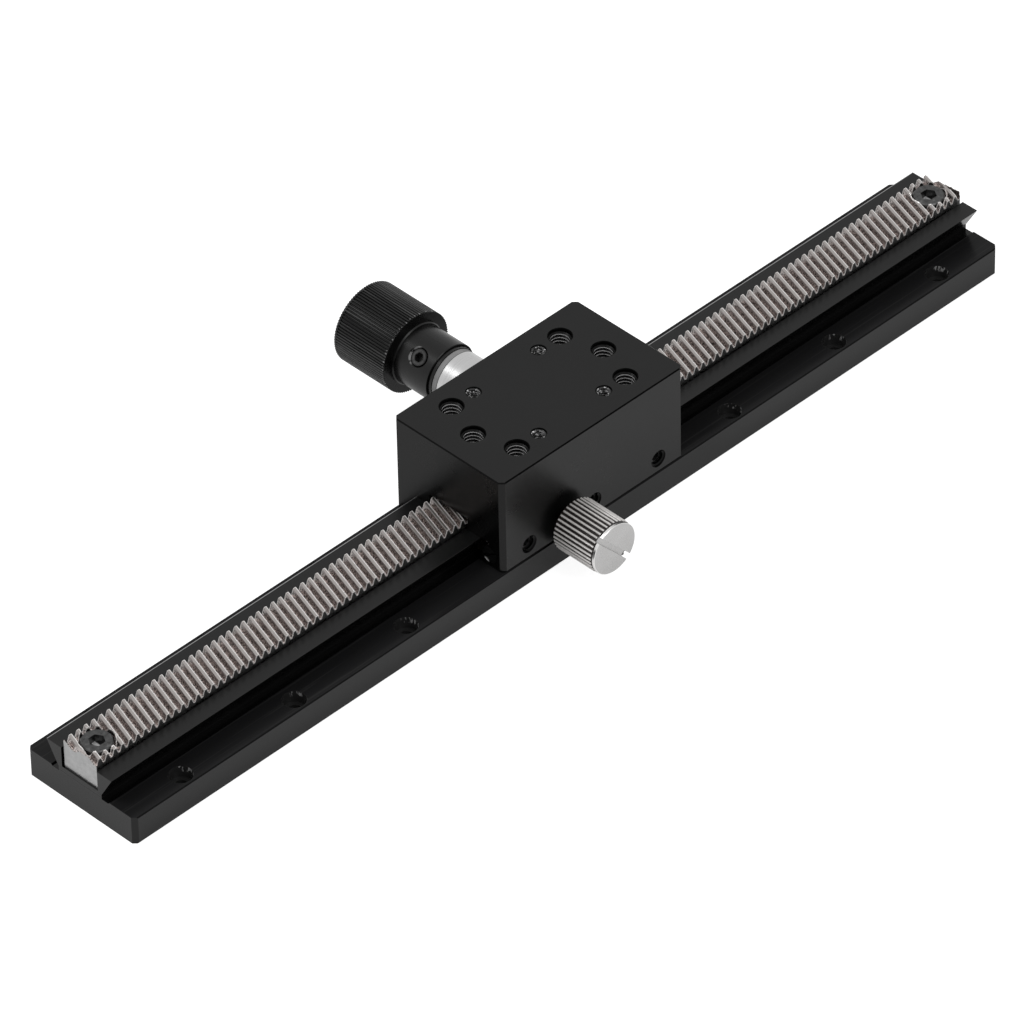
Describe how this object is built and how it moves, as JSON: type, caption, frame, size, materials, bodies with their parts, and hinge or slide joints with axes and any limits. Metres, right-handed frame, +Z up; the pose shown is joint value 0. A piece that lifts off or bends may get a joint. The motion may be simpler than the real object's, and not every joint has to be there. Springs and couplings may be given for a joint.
{
  "type": "dovetail slide",
  "caption": "Manual rack and pinion dovetail slide: a short carriage runs along a long dovetail rail with a helical rack, driven by a knob and held by a clamp screw.",
  "frame": {"origin": "middle of the rail's underside", "axes": "+X along the rail, +Y across it towards the drive knob, +Z up from the rail to the table"},
  "size_m": [0.2, 0.0637, 0.0245],
  "materials": {
    "black_anodised_rail": "satin black anodised",
    "black_anodised_block": "satin black anodised",
    "black_anodised_knob": "satin black anodised",
    "machined_steel": "as cut",
    "turned_sleeve": "fine turned",
    "nickel_plate": "nickel plated",
    "black_oxide": "black oxide",
    "bronze": "machined",
    "grey_plastic": "matte"
  },
  "bodies": {
    "rail": {"rail": "black_anodised_rail", "rack": "machined_steel", "rack_screw_left": "black_oxide", "rack_screw_right": "black_oxide"},
    "carriage": {"carriage": "black_anodised_block", "gib": "bronze", "gib_set_screw_left": "black_oxide", "gib_set_screw_middle": "black_oxide", "gib_set_screw_right": "black_oxide", "gib_end_screw_left": "black_oxide", "gib_end_screw_right": "black_oxide", "bearing_sleeve": "turned_sleeve", "inner_bush": "bronze", "outer_bush": "bronze", "outer_thrust_washer": "grey_plastic", "sleeve_lock_screw": "black_oxide"},
    "pinion": {"pinion_shaft": "machined_steel", "inner_thrust_washer": "grey_plastic", "knob": "black_anodised_knob", "knob_set_screw": "black_oxide"},
    "clamp_pad": {"clamp_pad": "bronze"},
    "clamp_screw": {"clamp_screw": "nickel_plate"}
  },
  "joints": [
    {"name": "carriage_slide", "type": "slide", "parent": "rail", "child": "carriage", "axis": [1, 0, 0], "range_m": [-0.0822, 0.0758]},
    {"name": "pinion_spin", "type": "hinge", "parent": "carriage", "child": "pinion", "pos_m": [0.0032, 0, 0.01625], "axis": [0, 1, 0], "range_deg": [-1062, 980]},
    {"name": "clamp_feed", "type": "slide", "parent": "carriage", "child": "clamp_pad", "axis": [0, 1, 0], "range_m": [0, 0.0002]},
    {"name": "clamp_turn", "type": "hinge", "parent": "clamp_pad", "child": "clamp_screw", "pos_m": [-0.003, -0.018, 0.0084], "axis": [0, 1, 0], "range_deg": [0, 150]}
  ],
  "couplings": [
    {"joint": "pinion_spin", "follows": "carriage_slide", "rad_per_m": 224.77},
    {"joint": "clamp_turn", "follows": "clamp_feed", "rad_per_m": 12566}
  ]
}
